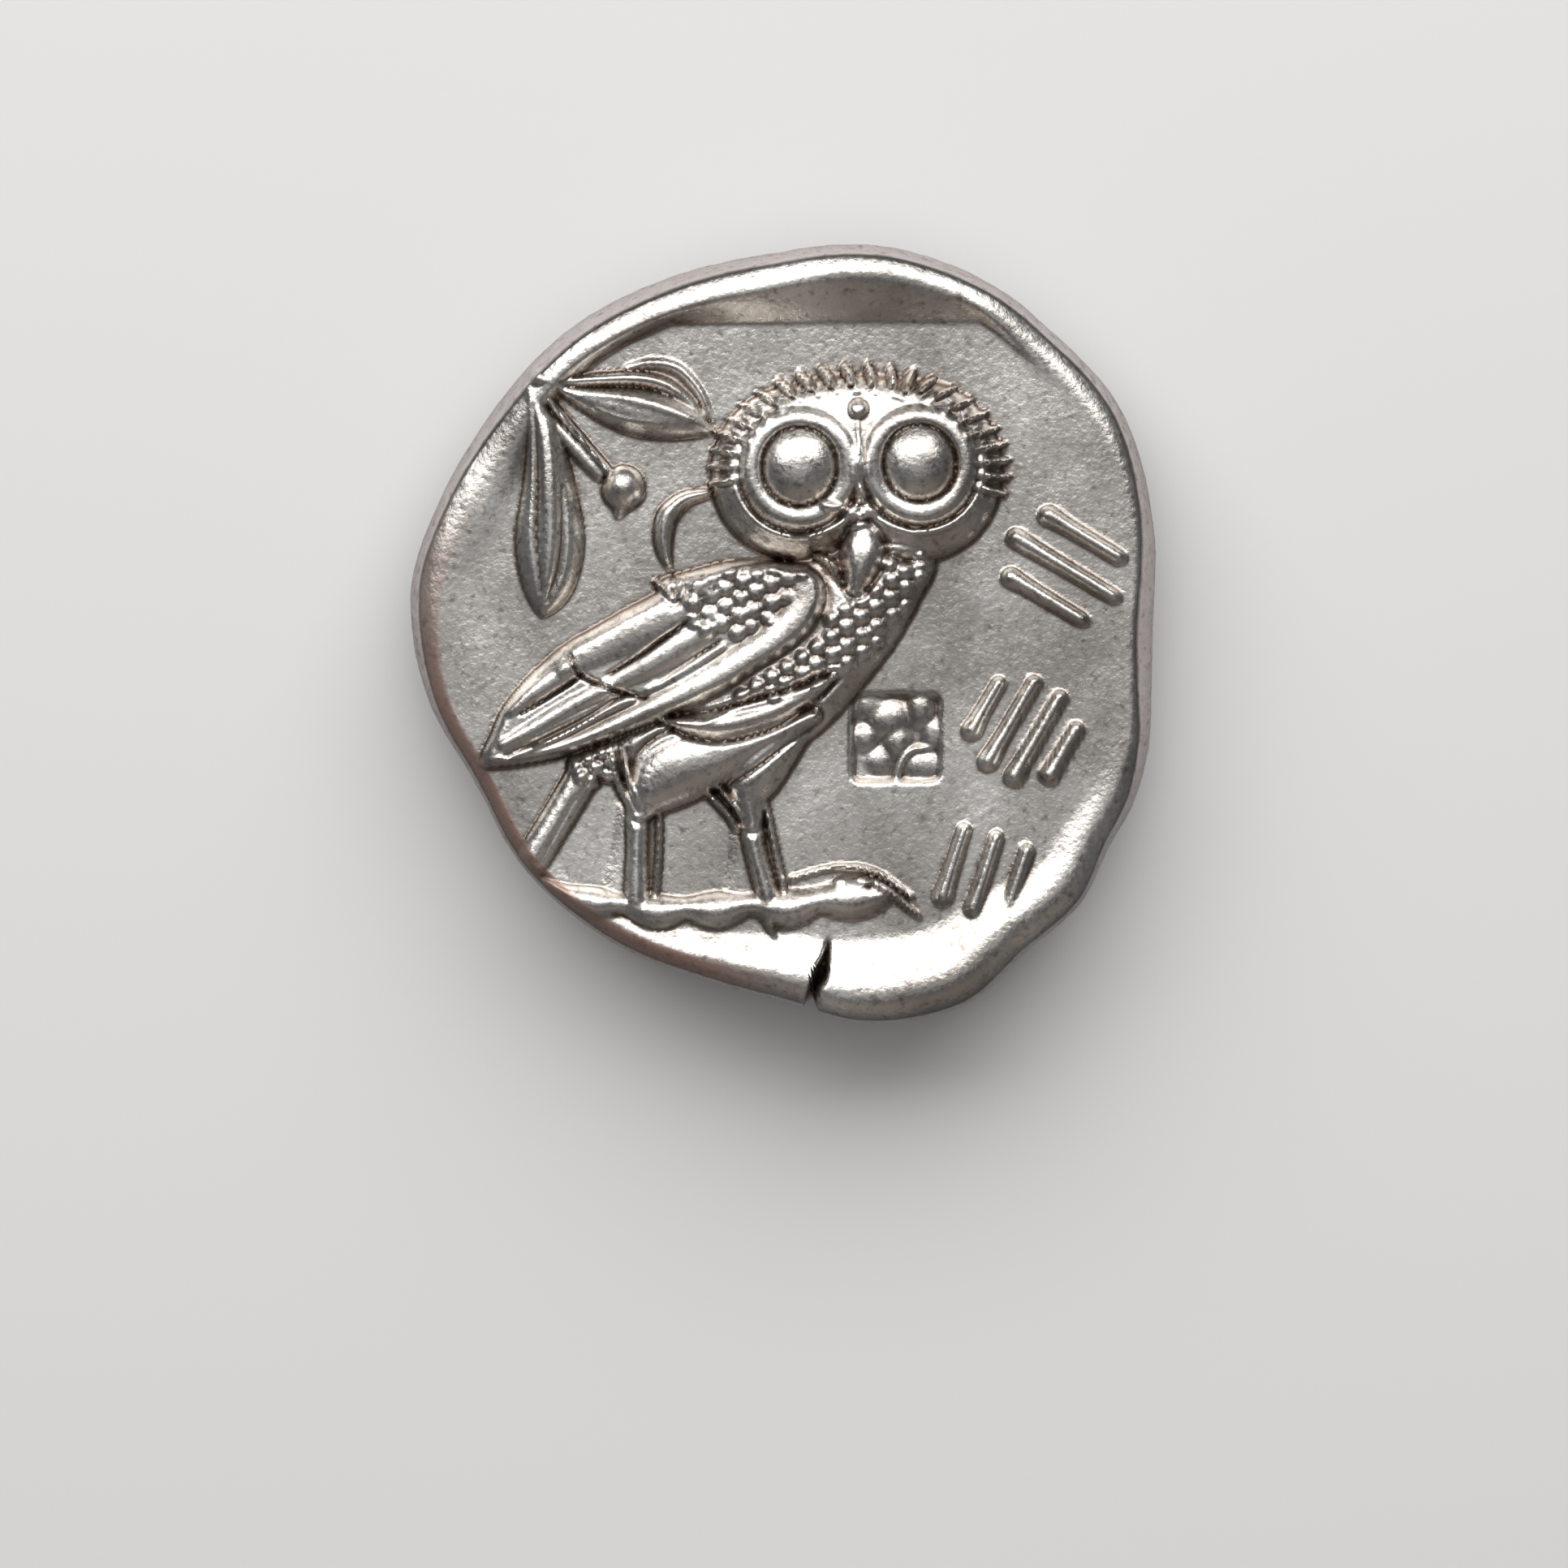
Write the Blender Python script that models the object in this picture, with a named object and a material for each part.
"""An owl tetradrachm, a struck silver coin, as one solid that lies on its worn obverse.

Blender 4.5, metres, +Z up. The owl side is on top, with the owl's crown towards +Y.
"""

import math

import bmesh
import bpy
import numpy as np

MM = 0.001
SOLID_NAME = "coin"

# The flan, which is the blank of silver that was struck
FLAN_RADIUS = 12.0 * MM
FLAN_THICKNESS = 3.15 * MM
BELT_LEVEL = 2.4 * MM
# Degrees round the coin from +X, and how far the outline lies outside FLAN_RADIUS, in millimetres
OUTLINE_WAVES = (
    (0, -0.10), (17, 0.45), (35, 1.08), (48, 0.62), (58, 0.73), (73, 0.86), (80, 0.68), (90, 0.27),
    (106, 0.0), (124, -0.08), (147, -0.32), (160, -0.22), (172, -0.05), (182, -0.25), (190, -0.5),
    (206, -1.13), (221, -0.9), (241, -0.78), (261, -0.63), (272, -0.17), (280, 0.57), (290, 1.08),
    (297, 1.22), (307, 0.82), (319, 0.85), (327, 0.5), (334, 0.5), (343, 0.3), (352, -0.02),
)
# How far the upper face's corner stands inside the outline, so that the edge shows from above
EDGE_SHOWING = (
    (0, 0.55), (30, 0.5), (60, 0.57), (90, 0.57), (120, 0.6), (140, 0.62), (165, 0.8), (180, 0.9),
    (200, 0.55), (220, 0.5), (245, 0.6), (262, 0.4), (280, 0.22), (310, 0.2), (330, 0.3), (345, 0.45),
)
# Height of the metal pushed up round the die, and the width of its rounded outer shoulder
RIM_HEIGHT = (
    (0, 0.25), (45, 0.55), (90, 0.95), (135, 0.75), (180, 0.35), (215, 0.15), (250, 0.45), (285, 0.75), (320, 0.3),
)
SHOULDER_WIDTH = (
    (0, 0.3), (60, 0.25), (120, 0.3), (180, 0.6), (215, 0.35), (250, 0.45), (285, 0.85), (320, 0.6),
)
LIP_HEIGHT = ((0, 0.2), (20, 0.25), (45, 0.35), (70, 0.2), (95, 0.0), (200, 0.0), (300, 0.0), (335, 0.12))
LIP_PLACE = 0.35 * MM
LIP_HALF_WIDTH = 0.35 * MM

# The die's square, pressed into the upper face
DIE_LEFT = -9.0 * MM
DIE_RIGHT = 11.3 * MM
DIE_TOP = 9.85 * MM
DIE_BOTTOM = -9.54 * MM
DIE_CORNER = 1.6 * MM
DIE_WALL = 1.5 * MM

# The crack in the edge below the owl, as (x, y, half width, depth) in millimetres
CRACK_PATH = ((1.52, -9.75, 0.03, 0.1), (1.36, -10.57, 0.14, 0.8), (1.11, -11.21, 0.24, 1.5), (0.88, -12.1, 0.3, 2.1))
CRACK_ANGLE = math.radians(274.6)
CRACK_NOTCH_DEPTH = 0.75 * MM
CRACK_NOTCH_HALF_WIDTH = 0.27 * MM

# The owl: its forms are shares of its height, in hundredths, from the lower left corner of its frame
OWL_HEIGHT = 18.0 * MM
OWL_LEFT = -9.4 * MM
OWL_FOOT = -9.54 * MM

# The sprig, the crescent, the strokes and the punch mark, in millimetres from the middle of the coin
SPRIG_RELIEF = 0.75
STROKE_RELIEF = 0.42
STROKE_HALF_WIDTH = 0.22
PUNCH_LEFT = 2.11 * MM
PUNCH_RIGHT = 5.2 * MM
PUNCH_TOP = -1.8 * MM
PUNCH_BOTTOM = -4.85 * MM
PUNCH_DEPTH = 0.25 * MM

# The underside, with a plain helmeted head: its forms are shares of its height
HEAD_HEIGHT = 19.5 * MM
HEAD_LEFT = -9.9 * MM
HEAD_FOOT = -9.7 * MM
UNDERSIDE_RELIEF = 1.4 * MM
UNDERSIDE_DISHING = 0.55 * MM
UNDERSIDE_EDGE_WIDTH = 0.7 * MM

# The mesh: a square of cells amid rings of faces, made finely and then thinned out
CORE_HALF_SIZE = 6.3 * MM
CORE_ROUNDING = 0.55
TOP_CELLS = 124
TOP_RINGS = 46
SIDE_RINGS = 5
UNDERSIDE_CELLS = 84
UNDERSIDE_RINGS = 32
THINNED_SHARE = 0.08
SAMPLE_SPREAD = 0.045 * MM
RESTING_SNAP = 0.03 * MM

SILVER_COLOUR = (0.72, 0.7, 0.66, 1.0)
SILVER_ROUGHNESS = 0.34


def around(angle, knots):
    """A value that changes smoothly round the coin, from its (degrees, value) knots."""
    degrees, values = np.array(knots, float).T
    degrees = np.concatenate([degrees - 360, degrees, degrees + 360])
    values = np.tile(values, 3)
    slopes = np.gradient(values, degrees)
    at = np.degrees(angle) % 360
    left = np.searchsorted(degrees, at, side="right") - 1
    span = degrees[left + 1] - degrees[left]
    t = (at - degrees[left]) / span
    return (
        values[left] * (1 + 2 * t) * (1 - t) ** 2
        + slopes[left] * span * t * (1 - t) ** 2
        + values[left + 1] * t**2 * (3 - 2 * t)
        - slopes[left + 1] * span * t**2 * (1 - t)
    )


def smooth_step(value):
    t = np.clip(value, 0, 1)
    return t * t * (3 - 2 * t)


def smooth_path(points, closed=False, steps=6):
    """Points along a smooth curve through the given ones, whatever each of them holds."""
    points = np.array(points, float)
    if closed:
        padded = np.vstack([points[-1:], points, points[:2]])
    else:
        padded = np.vstack([2 * points[:1] - points[1:2], points, 2 * points[-1:] - points[-2:-1]])
    t = (np.arange(steps) / steps)[:, None]
    curve = []
    for before, start, end, after in zip(padded, padded[1:], padded[2:], padded[3:]):
        bend = 2 * before - 5 * start + 4 * end - after
        twist = 3 * start - before - 3 * end + after
        curve.append(0.5 * (2 * start + (end - before) * t + bend * t**2 + twist * t**3))
    if not closed:
        curve.append(points[-1:])
    return np.vstack(curve)


class Relief:
    """Heights over many points, into which one form after another is worked, all in one unit."""

    def __init__(self, x, y, fillet):
        self.x = x
        self.y = y
        self.fillet = fillet
        self.height = np.zeros_like(x)

    def near(self, places, margin):
        low = places.min(axis=0) - margin
        high = places.max(axis=0) + margin
        inside = (self.x > low[0]) & (self.x < high[0]) & (self.y > low[1]) & (self.y < high[1])
        return np.flatnonzero(inside)

    def along(self, path):
        """Which points are near a path of (x, y, half width, height), how far across it, beyond it and how high."""
        curve = smooth_path(path)
        curve[:, 2] = np.maximum(curve[:, 2], 1e-3 * curve[:, 2].max())
        where = self.near(curve[:, :2], 1.3 * curve[:, 2].max() + 3 * self.fillet)
        start = curve[:-1]
        step = curve[1:] - start
        offset_x = self.x[where, None] - start[:, 0]
        offset_y = self.y[where, None] - start[:, 1]
        length = np.maximum(step[:, 0] ** 2 + step[:, 1] ** 2, 1e-12)
        t = np.clip((offset_x * step[:, 0] + offset_y * step[:, 1]) / length, 0, 1)
        distance = np.hypot(offset_x - t * step[:, 0], offset_y - t * step[:, 1])
        half_width = start[:, 2] + t * step[:, 2]
        across = distance / half_width
        best = np.argmin(across, axis=1)
        row = np.arange(len(where))
        height = (start[:, 3] + t * step[:, 3])[row, best]
        return where, across[row, best], (distance - half_width)[row, best], height

    def depth_in(self, outline, margin):
        """Which points are near a closed outline, and how deep inside it each lies: outside is negative."""
        corners = smooth_path(outline, closed=True, steps=4)
        where = self.near(corners, margin)
        return where, depth_inside(self.x[where], self.y[where], corners)

    def lay(self, where, form):
        """Lays a form over what is there, with a small fillet where the two meet."""
        old = self.height[where]
        meeting = np.maximum(self.fillet - np.abs(old - form), 0) ** 2 / (4 * self.fillet)
        self.height[where] = np.maximum(old, form) + meeting

    def ridge(self, path, power=0.65, parting=0.0):
        """Lays a rounded ridge on the field. Parting presses a moat round it, so that it stands clear of its ground."""
        where, across, beyond, height = self.along(path)
        if parting:
            moat = np.clip(1 - np.abs(beyond) / (3 * self.fillet), 0, 1) ** 2
            self.height[where] -= parting * moat * np.clip(self.height[where] / height, 0, 1)
        form = height * np.clip(1 - across**2, 0, 1) ** power - 2 * np.maximum(beyond, 0)
        self.lay(where, form)

    def emboss(self, path, power=1.0):
        """Adds a rounded ridge to the form that is there, or cuts a groove where its height is negative."""
        where, across, _, height = self.along(path)
        self.height[where] += height * np.clip(1 - across**2, 0, 1) ** power

    def bead(self, x, y, radius, height):
        where = self.near(np.array([[x, y]]), radius)
        across = np.hypot(self.x[where] - x, self.y[where] - y) / radius
        self.height[where] += height * np.clip(1 - across**2, 0, 1) ** 0.75

    def dome(self, x, y, radius_x, radius_y, height, power=0.5):
        """Lays a dome with an elliptical foot."""
        where = self.near(np.array([[x, y]]), max(radius_x, radius_y) + 3 * self.fillet)
        across = np.hypot((self.x[where] - x) / radius_x, (self.y[where] - y) / radius_y)
        beyond = np.maximum(across - 1, 0) * min(radius_x, radius_y)
        self.lay(where, height * np.clip(1 - across**2, 0, 1) ** power - 2 * beyond)

    def ring(self, x, y, radius_x, radius_y, half_width, height):
        """Adds a round ridge to the form that is there, or cuts one where its height is negative."""
        where = self.near(np.array([[x, y]]), max(radius_x, radius_y) + half_width)
        share = np.hypot((self.x[where] - x) / radius_x, (self.y[where] - y) / radius_y)
        across = (share - 1) * 0.5 * (radius_x + radius_y) / half_width
        self.height[where] += height * np.clip(1 - across**2, 0, 1)

    def plateau(self, outline, edge, height):
        """Lays a level form with a rounded edge. Its height may be a function of the points' x and y."""
        where, depth = self.depth_in(outline, 3 * self.fillet)
        top = height(self.x[where], self.y[where]) if callable(height) else height
        form = top * np.sqrt(1 - (1 - np.clip(depth / edge, 0, 1)) ** 2) - 2 * np.maximum(-depth, 0)
        self.lay(where, form)

    def beads_in(self, outline, spacing, angle, radius, height, inset):
        """Adds staggered rows of beads inside an outline."""
        corners = smooth_path(outline, closed=True, steps=4)
        middle = corners.mean(axis=0)
        reach = int(np.ptp(corners, axis=0).max() / spacing)
        turn = np.array([[math.cos(angle), math.sin(angle)], [-math.sin(angle), math.cos(angle)]])
        for row in range(-reach, reach + 1):
            for column in range(-reach, reach + 1):
                step = np.array([column + 0.5 * (row % 2), 0.87 * row]) * spacing
                x, y = middle + step @ turn
                if depth_inside(np.array([x]), np.array([y]), corners)[0] > inset:
                    self.bead(x, y, radius, height)


def depth_inside(x, y, corners):
    """How deep each point lies inside a closed outline: negative outside it."""
    start = corners
    step = np.roll(corners, -1, axis=0) - start
    offset_x = x[:, None] - start[:, 0]
    offset_y = y[:, None] - start[:, 1]
    t = np.clip((offset_x * step[:, 0] + offset_y * step[:, 1]) / (step**2).sum(axis=1), 0, 1)
    distance = np.hypot(offset_x - t * step[:, 0], offset_y - t * step[:, 1]).min(axis=1)
    level = (offset_y >= 0) != (offset_y - step[:, 1] >= 0)
    rise = np.where(step[:, 1] == 0, 1, step[:, 1])
    crossing = level & (offset_x < step[:, 0] * offset_y / rise)
    return np.where(crossing.sum(axis=1) % 2 == 1, distance, -distance)


def carve_legs(owl):
    """Tail, legs and the thin feather line behind each leg."""
    owl.ridge(((18.5, 30.0, 2.6, 3.2), (13.0, 20.5, 2.4, 3.2), (7.6, 12.2, 2.3, 2.8)))
    for path in (
        ((27.1, 24.0, 2.3, 3.6), (27.0, 15.0, 1.8, 3.2), (27.0, 6.0, 1.8, 3.0)),
        ((46.2, 23.0, 2.4, 3.6), (47.4, 15.0, 1.9, 3.2), (49.6, 6.5, 1.8, 3.0)),
        ((30.8, 22.0, 0.55, 1.5), (31.2, 5.5, 0.5, 1.4)),
        ((48.9, 24.0, 0.55, 1.6), (50.6, 16.0, 0.5, 1.5), (53.3, 7.6, 0.5, 1.4)),
    ):
        owl.ridge(path)


def carve_body(owl):
    """Breast, belly, thighs and the long feathers of the flank."""
    owl.ridge(
        (
            (70.5, 66.5, 9.0, 5.2), (59.5, 54.8, 12.0, 5.8), (45.5, 41.4, 12.0, 5.6), (27.1, 33.6, 7.1, 4.4),
            (17.9, 31.1, 3.1, 3.0),
        ),
        power=0.5,
    )
    owl.ridge(((50.0, 34.0, 4.8, 5.4), (45.6, 27.0, 4.8, 5.2), (47.2, 20.5, 2.4, 3.6)), parting=1.2)
    owl.ridge(
        ((55.0, 35.5, 2.4, 5.8), (43.5, 32.0, 5.2, 6.4), (33.0, 28.6, 6.8, 6.6), (28.6, 22.6, 3.4, 4.2)), parting=1.6
    )
    for path in (((22.6, 32.4, 1.0, 4.2), (26.2, 22.6, 0.8, 2.8)), ((24.6, 33.0, 1.0, 4.8), (28.0, 22.4, 0.8, 3.0))):
        owl.ridge(path, parting=0.6)
    owl.ridge(
        (
            (30.6, 37.4, 0.5, 5.4), (39.0, 36.6, 2.3, 6.6), (49.0, 38.2, 3.3, 7.0), (58.6, 42.9, 3.0, 6.6),
            (65.0, 48.2, 1.4, 5.8),
        ),
        parting=1.4,
    )
    owl.beads_in(
        (
            (71.6, 66.5), (79.0, 66.0), (78.0, 61.0), (73.0, 54.5), (67.0, 48.0), (60.5, 43.5), (53.5, 41.4),
            (42.5, 40.4), (41.6, 43.0), (48.5, 45.2), (55.5, 50.2), (60.5, 55.5), (62.0, 61.0), (66.0, 60.5),
        ),
        spacing=3.0,
        angle=math.radians(47),
        radius=1.35,
        height=0.95,
        inset=0.4,
    )
    for x, y in ((17.2, 32.6), (20.2, 31.6), (22.4, 33.2), (15.4, 30.4), (18.2, 29.4)):
        owl.ridge(((x, y, 1.1, 3.6), (x + 0.2, y - 0.3, 1.1, 3.6)))


WING_OUTLINE = (
    (58.6, 61.4), (51.8, 65.0), (43.6, 66.3), (37.1, 64.9), (30.6, 62.2), (29.4, 58.4), (23.6, 56.4),
    (17.9, 53.0), (13.6, 50.0), (10.0, 46.9), (6.0, 42.6), (2.6, 38.8), (-0.8, 35.2), (-0.4, 30.4),
    (3.1, 28.8), (14.3, 31.8), (23.6, 34.2), (31.0, 37.6), (44.3, 44.0), (54.6, 51.2), (59.6, 57.2),
)


def wing_height(x, _):
    return 4.0 + 2.6 * np.clip(x / 50, 0, 1)


def carve_wing(owl):
    """The folded wing: its smooth leading edge, the coverts, the flight feathers and the beaded shoulder."""
    where, depth = owl.depth_in(WING_OUTLINE, 2.5)
    moat = np.clip(1 - np.abs(depth) / 2.0, 0, 1) ** 2
    owl.height[where] -= 1.3 * moat * np.clip(owl.height[where] / 5, 0, 1)
    owl.plateau(WING_OUTLINE, 2.4, wing_height)
    for path in (
        ((36.5, 57.6, 3.0, 0.7), (25.0, 52.8, 3.2, 0.7), (15.5, 48.6, 2.6, 0.6)),
        ((38.5, 53.4, 2.2, 0.7), (29.0, 49.2, 2.4, 0.7), (20.0, 44.6, 2.0, 0.6)),
        ((43.0, 50.6, 1.8, 0.7), (34.0, 46.4, 2.0, 0.7), (26.5, 42.8, 1.6, 0.6)),
        ((17.0, 44.4, 2.0, 0.9), (10.0, 40.6, 2.0, 0.9), (2.0, 36.4, 1.4, 0.8)),
        ((22.0, 42.0, 1.6, 0.9), (12.0, 37.4, 1.6, 0.9), (0.6, 32.6, 1.0, 0.7)),
    ):
        owl.emboss(path)
    for path in (
        ((36.6, 55.4, 0.6, -0.9), (29.0, 50.8, 0.6, -1.0), (21.6, 45.6, 0.5, -0.8)),
        ((41.6, 51.9, 0.6, -0.9), (36.0, 48.2, 0.6, -1.0), (29.6, 43.6, 0.5, -0.8)),
        ((13.9, 51.0, 0.6, -0.8), (16.0, 46.6, 0.6, -1.2), (18.4, 44.6, 0.6, -1.3), (23.8, 42.3, 0.6, -1.3),
         (30.6, 41.2, 0.5, -0.9)),
        ((23.0, 42.2, 0.6, -1.1), (12.0, 37.9, 0.7, -1.3), (1.6, 33.0, 0.5, -1.0)),
    ):
        owl.emboss(path)
    owl.emboss(
        (
            (56.6, 61.0, 3.6, 1.0), (56.0, 56.4, 4.0, 1.5), (50.0, 50.0, 4.0, 1.6), (39.6, 44.2, 3.5, 1.5),
            (28.6, 38.9, 2.9, 1.4), (14.3, 33.6, 2.0, 1.2), (0.9, 29.9, 1.0, 0.8),
        ),
        power=0.8,
    )
    owl.beads_in(
        (
            (32.0, 60.6), (38.0, 63.8), (46.0, 65.0), (54.4, 63.2), (57.0, 60.0), (53.0, 55.4), (47.0, 52.2),
            (40.0, 51.6), (35.6, 55.4),
        ),
        spacing=2.7,
        angle=math.radians(20),
        radius=1.3,
        height=0.8,
        inset=0.3,
    )


HEAD_CENTRE = (65.2, 79.5)
LOCK_TIP_RADII = (27.0, 20.5)
LOCK_FIRST, LOCK_LAST, LOCK_COUNT = 184, -12, 20


def carve_head(owl):
    """Skull, the two face discs, the eyes, the beak and the locks round the crown."""
    middle_x, middle_y = HEAD_CENTRE
    for turn in np.radians(np.linspace(LOCK_FIRST, LOCK_LAST, LOCK_COUNT)):
        reach_x = LOCK_TIP_RADII[0] * math.cos(turn)
        reach_y = LOCK_TIP_RADII[1] * math.sin(turn)
        inner = (middle_x + 0.84 * reach_x, middle_y + 0.84 * reach_y, 0.9, 4.6)
        owl.ridge((inner, (middle_x + 0.99 * reach_x, middle_y + 0.99 * reach_y, 0.5, 2.4)), power=0.5)
    for disc in ((65.9, 84.0, 24.3, 14.2), (55.0, 80.2, 14.8, 14.6), (77.2, 80.4, 14.6, 14.6)):
        where = owl.near(np.array([disc[:2]]), max(disc[2:]) + 2)
        across = np.hypot((owl.x[where] - disc[0]) / disc[2], (owl.y[where] - disc[1]) / disc[3])
        moat = np.clip(1 - np.abs(across - 1) * disc[3] / 2, 0, 1) ** 2
        owl.height[where] -= 1.4 * moat * np.clip(owl.height[where] / 5, 0, 1)
    owl.dome(65.9, 84.0, 24.3, 14.2, 7.2, power=0.4)
    owl.dome(55.0, 80.2, 14.8, 14.6, 7.0, power=0.4)
    owl.dome(77.2, 80.4, 14.6, 14.6, 7.0, power=0.4)
    for x, y, size in ((55.0, 81.7, 1.0), (76.4, 82.3, 0.95)):
        owl.ring(x, y, 10.0 * size, 10.3 * size, 0.9, 1.1)
        owl.ring(x, y, 8.0 * size, 8.3 * size, 1.1, 1.2)
        owl.ring(x, y, 6.9 * size, 7.2 * size, 0.7, -0.8)
        owl.dome(x, y + 0.6, 6.5 * size, 7.1 * size, 8.9, power=0.22)
        owl.emboss(((x, y + 0.6, 6.3 * size, 1.0), (x, y + 0.5, 6.3 * size, 1.0)), power=0.8)
    owl.ring(65.9, 92.1, 1.8, 1.8, 0.6, -0.7)
    owl.bead(65.9, 92.1, 1.4, 1.2)
    for path in (
        ((59.0, 75.0, 1.0, 0.8), (62.5, 73.9, 1.5, 1.4), (66.3, 73.0, 2.0, 1.8), (70.0, 74.0, 1.4, 1.0)),
        ((66.2, 78.2, 0.5, 1.0), (66.3, 76.6, 1.0, 1.2)),
    ):
        owl.emboss(path, power=0.8)
    owl.ridge(((66.4, 73.0, 2.2, 7.6), (66.2, 69.4, 3.4, 8.2), (65.0, 61.2, 0.8, 6.6)), power=0.6, parting=1.4)
    owl.ridge(((59.6, 65.6, 0.5, 6.2), (63.0, 61.0, 0.4, 5.8)), parting=0.8)


def carve_feet(owl):
    """The row of knuckled toes that the owl stands on, and its claws."""
    owl.ridge(
        (
            (8.6, 9.6, 0.8, 1.6), (15.0, 6.9, 1.3, 2.4), (20.0, 5.0, 1.9, 3.0), (25.0, 5.6, 2.2, 3.3),
            (29.6, 3.8, 2.2, 3.3), (34.4, 3.8, 2.0, 3.2), (40.6, 3.5, 2.4, 3.6), (46.2, 4.6, 1.9, 3.1),
            (51.6, 4.1, 2.4, 3.6), (57.2, 5.0, 1.9, 3.1), (61.4, 5.6, 1.9, 3.2), (65.8, 5.6, 2.3, 3.5),
            (70.0, 6.2, 1.9, 3.1), (73.2, 7.2, 0.8, 2.0),
        )
    )
    for path in (
        ((70.0, 8.6, 0.7, 2.0), (73.7, 6.6, 0.7, 1.9), (76.2, 2.8, 0.3, 1.2)),
        ((54.0, 10.2, 0.5, 1.4), (64.3, 11.0, 0.5, 1.4), (71.4, 10.3, 0.5, 1.5), (76.4, 5.0, 0.3, 1.1)),
        ((49.6, 2.4, 0.7, 2.0), (52.0, -0.4, 0.3, 1.0)),
    ):
        owl.ridge(path)


def owl_height(x, y):
    """How far the owl stands out of the field."""
    share = OWL_HEIGHT / 100
    owl = Relief((x - OWL_LEFT) / share, (y - OWL_FOOT) / share, fillet=0.5)
    carve_legs(owl)
    carve_body(owl)
    carve_wing(owl)
    carve_head(owl)
    carve_feet(owl)
    return owl.height * share


def carve_leaf(side, base, tip, half_width, height):
    """A leaf with its widest part past its middle, a raised midrib and a groove on each side of it."""
    base = np.array(base)
    step = np.array(tip) - base
    path = []
    for share in np.linspace(0, 1, 9):
        swelling = math.sin(math.pi * share**1.35) ** 0.8
        x, y = base + share * step
        path.append((x, y, 0.06 + half_width * swelling, height * (0.35 + 0.65 * swelling)))
    side.ridge(path, power=0.6)
    across = np.array([-step[1], step[0]]) / np.hypot(*step)
    rib_start = base + 0.12 * step
    rib_end = base + 0.94 * step
    side.emboss(((*rib_start, 0.1, 0.12), (*rib_end, 0.09, 0.1)))
    for hand in (-1, 1):
        start = base + 0.28 * step + hand * 0.25 * half_width * across
        middle = base + 0.6 * step + hand * 0.45 * half_width * across
        end = base + 0.92 * step + hand * 0.15 * half_width * across
        side.emboss(((*start, 0.1, -0.05), (*middle, 0.16, -0.13), (*end, 0.09, -0.05)))


def carve_sprig(side):
    """The olive sprig: two leaves and a fruit on its stalk, from one joint near the rim."""
    side.ridge(((-8.9, 8.7, 0.3, 0.55), (-7.8, 7.72, 0.32, 0.6), (-7.0, 7.6, 0.22, 0.5)))
    carve_leaf(side, (-7.1, 7.68), (-2.15, 6.45), 0.95, SPRIG_RELIEF)
    carve_leaf(side, (-7.75, 7.4), (-7.52, 0.7), 0.93, SPRIG_RELIEF)
    side.ridge(((-7.55, 7.5, 0.16, 0.4), (-6.4, 6.3, 0.12, 0.35), (-5.45, 5.1, 0.14, 0.4)))
    side.dome(-5.1, 4.6, 0.72, 0.78, 0.85, power=0.5)
    side.ridge(((-5.1, 4.3, 0.4, 0.5), (-5.07, 3.6, 0.06, 0.2)))


def carve_crescent(side):
    side.ridge(
        (
            (-2.3, 4.52, 0.08, 0.3), (-3.05, 4.4, 0.2, 0.45), (-3.62, 3.8, 0.27, 0.55), (-3.8, 3.03, 0.24, 0.5),
            (-3.58, 2.05, 0.06, 0.2),
        )
    )


def carve_strokes(side):
    """Plain slanting strokes, in rows, where the coin carries its inscription."""
    for centre, slant, lengths, spacing in (
        ((9.0, 2.1), math.radians(-31), (2.6, 3.6, 2.6), 1.15),
        ((7.7, -3.03), math.radians(60), (1.7, 2.9, 2.9, 1.7), 0.95),
        ((7.2, -8.1), math.radians(72), (2.1, 2.3, 2.3, 2.1), 1.15),
    ):
        along = np.array([math.cos(slant), math.sin(slant)])
        across = np.array([math.sin(slant), -math.cos(slant)])
        for index, length in enumerate(lengths):
            middle = np.array(centre) + (index - 0.5 * (len(lengths) - 1)) * spacing * across
            start = middle - 0.5 * length * along
            end = middle + 0.5 * length * along
            stroke = ((*start, STROKE_HALF_WIDTH, STROKE_RELIEF), (*end, STROKE_HALF_WIDTH, STROKE_RELIEF))
            side.ridge(stroke, power=0.5)


def punch_depth(x, y):
    """A small square punch mark, with a few lumps left standing in it."""
    middle_x = 0.5 * (PUNCH_LEFT + PUNCH_RIGHT)
    middle_y = 0.5 * (PUNCH_TOP + PUNCH_BOTTOM)
    half_x = 0.5 * (PUNCH_RIGHT - PUNCH_LEFT)
    half_y = 0.5 * (PUNCH_TOP - PUNCH_BOTTOM)
    inside = np.minimum(half_x - np.abs(x - middle_x), half_y - np.abs(y - middle_y))
    recess = smooth_step(inside / (0.3 * MM))
    lumps = Relief((x - middle_x) / MM, (y - middle_y) / MM, fillet=0.05)
    for path in (
        ((-0.7, 1.1, 0.5, 0.2), (-0.1, 0.7, 0.45, 0.24), (0.1, 0.2, 0.35, 0.2)),
        ((-0.9, 0.3, 0.25, 0.16), (-0.6, -0.2, 0.25, 0.16)),
        ((0.1, -1.3, 0.1, 0.2), (0.2, -0.6, 0.12, 0.22), (0.9, -0.3, 0.1, 0.2), (1.5, -0.4, 0.1, 0.2)),
        ((0.5, 0.6, 0.3, 0.22), (0.6, 1.3, 0.35, 0.24)),
    ):
        lumps.ridge(path)
    return PUNCH_DEPTH * recess - lumps.height * MM * recess


def crack_depth(x, y):
    crack = Relief(x / MM, y / MM, fillet=0.05)
    crack.emboss(CRACK_PATH, power=0.7)
    return crack.height * MM


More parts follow.
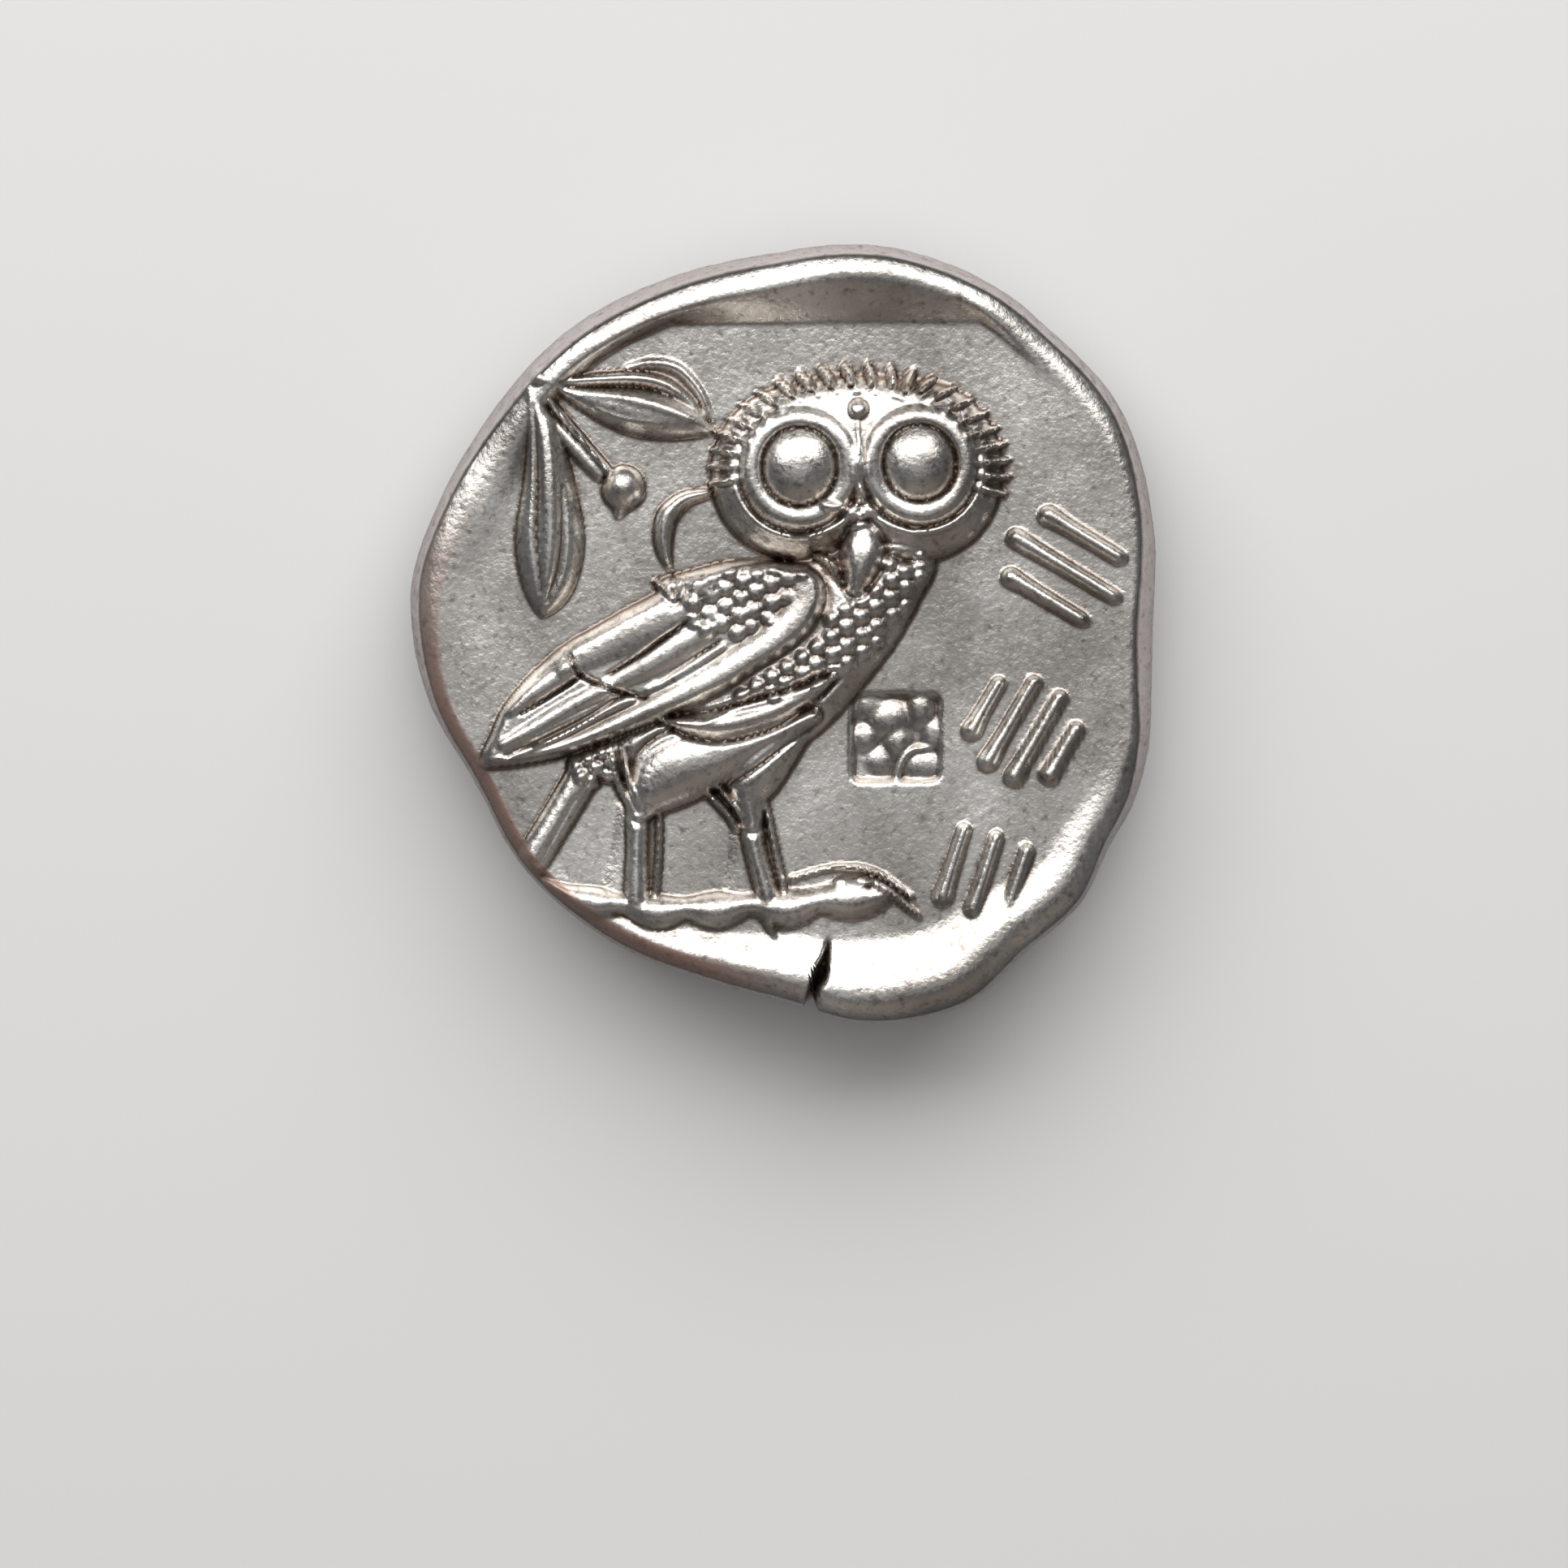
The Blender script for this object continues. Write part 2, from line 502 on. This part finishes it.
def outline_radius(angle):
    """The coin's greatest radius at an angle, with the crack's notch."""
    radius = FLAN_RADIUS + around(angle, OUTLINE_WAVES) * MM
    turn = (angle - CRACK_ANGLE + math.pi) % (2 * math.pi) - math.pi
    notch = np.clip(1 - np.abs(turn) * radius / CRACK_NOTCH_HALF_WIDTH, 0, 1)
    return radius - CRACK_NOTCH_DEPTH * notch**0.8


def rim_height(x, y):
    """Height of the metal outside the die's square, with the lip and the rounded shoulder at the edge."""
    angle = np.arctan2(y, x)
    to_corner = outline_radius(angle) - around(angle, EDGE_SHOWING) * MM - np.hypot(x, y)
    middle_x = 0.5 * (DIE_LEFT + DIE_RIGHT)
    middle_y = 0.5 * (DIE_TOP + DIE_BOTTOM)
    over_x = np.abs(x - middle_x) - 0.5 * (DIE_RIGHT - DIE_LEFT) + DIE_CORNER
    over_y = np.abs(y - middle_y) - 0.5 * (DIE_TOP - DIE_BOTTOM) + DIE_CORNER
    outside_die = np.hypot(np.maximum(over_x, 0), np.maximum(over_y, 0)) - DIE_CORNER
    rim = around(angle, RIM_HEIGHT) * MM * smooth_step(outside_die / DIE_WALL)
    lip_across = (to_corner - LIP_PLACE) / LIP_HALF_WIDTH
    lip = around(angle, LIP_HEIGHT) * MM * np.clip(1 - lip_across**2, 0, 1)
    width = around(angle, SHOULDER_WIDTH) * MM
    fall = 0.55 * width * np.clip(1 - to_corner / width, 0, 1.2) ** 2
    return np.maximum(rim, lip) - fall


def top_level(x, y):
    """Height of the owl side above the plane that the coin lies on."""
    side = Relief(x / MM, y / MM, fillet=0.08)
    carve_sprig(side)
    carve_crescent(side)
    carve_strokes(side)
    forms = np.maximum(owl_height(x, y), side.height * MM)
    rim = rim_height(x, y)
    standing = np.maximum(forms, rim) - punch_depth(x, y) - crack_depth(x, y)
    return UNDERSIDE_RELIEF + FLAN_THICKNESS + standing


def carve_helmeted_head(head):
    """A calm profile in a crested helmet, in plain broad forms."""
    head.plateau(
        ((40, 46), (42, 30), (38, 15), (32, 5), (50, 1), (66, 2), (75, 7), (68, 14), (64, 22), (66, 34)), 8.0, 7.4
    )
    head.plateau(
        (
            (66, 78), (76, 70), (78.5, 60), (83, 54), (87, 48.5), (82.5, 45.5), (84, 42.5), (82.5, 40), (83, 37),
            (80.5, 34.5), (82, 29), (77, 24), (68, 24), (55, 31), (44, 44), (48, 66),
        ),
        7.0,
        6.8,
    )
    head.emboss(((61, 42, 13, 1.2), (62, 41, 13, 1.2)))
    head.dome(44, 64, 31, 25, 8.0, power=0.4)
    head.ridge(((23, 50, 6, 5.4), (25, 38, 6.5, 5.2), (32, 27, 5, 3.8)), power=0.45, parting=0.5)
    crest = smooth_path(((76, 89), (61, 95), (44, 96.5), (26, 92), (13, 81), (6.5, 65), (7, 50)))
    head.ridge([(x, y, 5.5, 5.0) for x, y in crest], power=0.4, parting=0.5)
    for (x, y), (next_x, next_y) in zip(crest[:-1:2], crest[1::2]):
        bar = np.array([next_y - y, x - next_x])
        bar *= 5.0 / np.hypot(*bar)
        head.emboss(((x - bar[0], y - bar[1], 0.9, -1.0), (x + bar[0], y + bar[1], 0.9, -1.0)))
    head.emboss(((75.0, 73.0, 1.2, 1.2), (65, 66, 1.2, 1.5), (53, 57, 1.2, 1.5), (43, 46, 1.2, 1.2)))
    for share in np.linspace(0, 1, 8):
        head.bead(74.0 - 25 * share, 69.0 - 18 * share, 2.0, 1.3)
    for x, lean in ((53, -5), (61, -1), (69, 2)):
        leaf = ((x, 72, 0.8, 1.0), (x + 0.5 * lean, 77, 2.2, 1.4), (x + lean, 83, 0.8, 0.8))
        head.emboss(leaf)
    scroll = [(33 + 8 * (1 - t) * math.cos(8 * t), 62 + 8 * (1 - t) * math.sin(8 * t)) for t in np.linspace(0, 0.8, 10)]
    head.emboss([(x, y, 1.2, -0.9) for x, y in scroll])
    head.emboss(((68, 61.0, 1.2, 0.9), (73, 62.6, 1.3, 1.2), (77.5, 61.0, 1.0, 0.8)))
    head.emboss(((67, 56.6, 1.2, 0.9), (71.5, 57.4, 2.4, 1.5), (76, 56.2, 1.0, 0.9)))
    head.emboss(((76.5, 42.4, 0.9, -1.2), (83.5, 42.0, 0.9, -1.2)))
    head.ring(48, 48, 2.8, 4.4, 1.5, 1.0)


def underside_level(x, y):
    """Height of the underside: its head's high points are worn down to the plane that the coin lies on."""
    share = HEAD_HEIGHT / 100
    head = Relief((-x - HEAD_LEFT) / share, (y - HEAD_FOOT) / share, fillet=0.6)
    carve_helmeted_head(head)
    angle = np.arctan2(y, x)
    radius = np.hypot(x, y)
    to_edge = outline_radius(angle) - radius
    field = UNDERSIDE_RELIEF + UNDERSIDE_DISHING * (radius / FLAN_RADIUS) ** 2
    rounding = 0.8 * UNDERSIDE_EDGE_WIDTH * np.clip(1 - to_edge / (2 * UNDERSIDE_EDGE_WIDTH), 0, 1) ** 2
    return np.maximum(field + rounding - head.height * share, 0)


def averaged(level, x, y):
    """The mean of four samples about each point, which keeps narrow forms from breaking up into steps."""
    total = np.zeros_like(x)
    for side_x, side_y in ((-1, -0.4), (0.4, -1), (1, 0.4), (-0.4, 1)):
        total += level(x + side_x * SAMPLE_SPREAD, y + side_y * SAMPLE_SPREAD)
    return total / 4


def add_flat_half(mesh, cells, rings, level):
    """A flat square of cells with rings of faces round it. Its outermost loop of edges is returned."""
    made = bmesh.ops.create_grid(mesh, x_segments=cells, y_segments=cells, size=1.0)
    own = set(made["verts"])
    bmesh.ops.translate(mesh, verts=made["verts"], vec=(0, 0, level))
    loop = [edge for edge in mesh.edges if edge.is_boundary and edge.verts[0] in own]
    for ring in range(1, rings + SIDE_RINGS + 1):
        grown = bmesh.ops.extrude_edge_only(mesh, edges=loop)["geom"]
        loop = [item for item in grown if isinstance(item, bmesh.types.BMEdge) and item.is_boundary]
        reach = (1 + ring / rings) / (1 + (ring - 1) / rings)
        for vert in (item for item in grown if isinstance(item, bmesh.types.BMVert)):
            vert.co.x *= reach
            vert.co.y *= reach
    return loop


def round_square(u, v):
    """Turns the square of cells into a rounder one, of CORE_HALF_SIZE."""
    x = u * np.sqrt(1 - 0.5 * CORE_ROUNDING * v**2)
    y = v * np.sqrt(1 - 0.5 * CORE_ROUNDING * u**2)
    return CORE_HALF_SIZE * x, CORE_HALF_SIZE * y


def even_angle(u, v):
    """The angle that spreads the points of a square's edge evenly round a circle."""
    quarter = np.where(np.abs(u) >= np.abs(v), np.where(u > 0, 0, 2), np.where(v > 0, 1, 3))
    rising = np.choose(quarter, (v, -u, -v, u))
    reach = np.maximum(np.maximum(np.abs(u), np.abs(v)), 1e-9)
    return (quarter + 0.5 * rising / reach) * 0.5 * math.pi


def place(flat, rings, inset_at, level):
    """Moves one half's flat points into the coin: the face first, then the side that runs out to the belt."""
    u, v = flat
    reach = np.maximum(np.maximum(np.abs(u), np.abs(v)), 1e-9)
    core_x, core_y = round_square(u / np.maximum(reach, 1), v / np.maximum(reach, 1))
    even = even_angle(u, v)
    core_angle = np.arctan2(core_y, core_x)
    slack = (core_angle - even + math.pi) % (2 * math.pi) - math.pi
    share = np.clip(reach - 1, 0, 1)
    angle = even + slack * (1 - share)
    outline = outline_radius(angle)
    inset = inset_at(angle)
    radius = np.hypot(core_x, core_y) * (1 - share) + (outline - inset) * share
    x = np.where(reach > 1, radius * np.cos(angle), core_x)
    y = np.where(reach > 1, radius * np.sin(angle), core_y)
    z = averaged(level, x, y)
    down = np.clip((reach - 2) * rings / SIDE_RINGS, 0, 1)
    bulge = inset * np.sin(0.5 * math.pi * down)
    return x + bulge * np.cos(angle), y + bulge * np.sin(angle), z + (BELT_LEVEL - z) * down * 0.97


def top_inset(angle):
    return around(angle, EDGE_SHOWING) * MM


def underside_inset(angle):
    return np.full_like(angle, UNDERSIDE_EDGE_WIDTH)


def build_fine_mesh():
    """The coin as one closed mesh, with its relief, before it is thinned out."""
    mesh = bmesh.new()
    top_loop = add_flat_half(mesh, TOP_CELLS, TOP_RINGS, 1.0)
    under_loop = add_flat_half(mesh, UNDERSIDE_CELLS, UNDERSIDE_RINGS, -1.0)
    bmesh.ops.bridge_loops(mesh, edges=top_loop + under_loop)
    bmesh.ops.recalc_face_normals(mesh, faces=mesh.faces)
    flat = np.array([vert.co[:] for vert in mesh.verts])
    upper = flat[:, 2] > 0
    points = np.empty_like(flat)
    points[upper] = np.transpose(place(flat[upper, :2].T, TOP_RINGS, top_inset, top_level))
    points[~upper] = np.transpose(place(flat[~upper, :2].T, UNDERSIDE_RINGS, underside_inset, underside_level))
    for vert, point in zip(mesh.verts, points):
        vert.co = point
    data = bpy.data.meshes.new(SOLID_NAME)
    mesh.to_mesh(data)
    mesh.free()
    return data


def thin_out(fine):
    """Joins the smallest faces where the form is plain, so that the solid keeps few enough of them."""
    helper = bpy.data.objects.new("fine_coin", fine)
    bpy.context.scene.collection.objects.link(helper)
    helper.modifiers.new("thin", "DECIMATE").ratio = THINNED_SHARE
    graph = bpy.context.evaluated_depsgraph_get()
    thinned = bpy.data.meshes.new_from_object(helper.evaluated_get(graph), depsgraph=graph)
    bpy.data.objects.remove(helper)
    return thinned


def settle(data):
    """Centres the coin on its own outline, and makes the worn high points lie truly flat at height zero."""
    points = np.empty(3 * len(data.vertices), np.float32)
    data.vertices.foreach_get("co", points)
    points = points.reshape(-1, 3)
    points[:, :2] -= 0.5 * (points[:, :2].min(axis=0) + points[:, :2].max(axis=0))
    points[:, 2] = np.where(points[:, 2] < RESTING_SNAP, 0, points[:, 2])
    data.vertices.foreach_set("co", points.ravel())
    data.update()


def silver():
    material = bpy.data.materials.new("struck_silver")
    material.use_nodes = True
    shader = material.node_tree.nodes["Principled BSDF"]
    shader.inputs["Base Color"].default_value = SILVER_COLOUR
    shader.inputs["Metallic"].default_value = 1.0
    shader.inputs["Roughness"].default_value = SILVER_ROUGHNESS
    return material


def main():
    for old in list(bpy.data.objects):
        bpy.data.objects.remove(old)
    data = thin_out(build_fine_mesh())
    settle(data)
    data.name = SOLID_NAME
    data.materials.append(silver())
    data.shade_smooth()
    data.set_sharp_from_angle(angle=math.radians(50))
    coin = bpy.data.objects.new(SOLID_NAME, data)
    bpy.context.scene.collection.objects.link(coin)


if __name__ == "__main__":
    main()
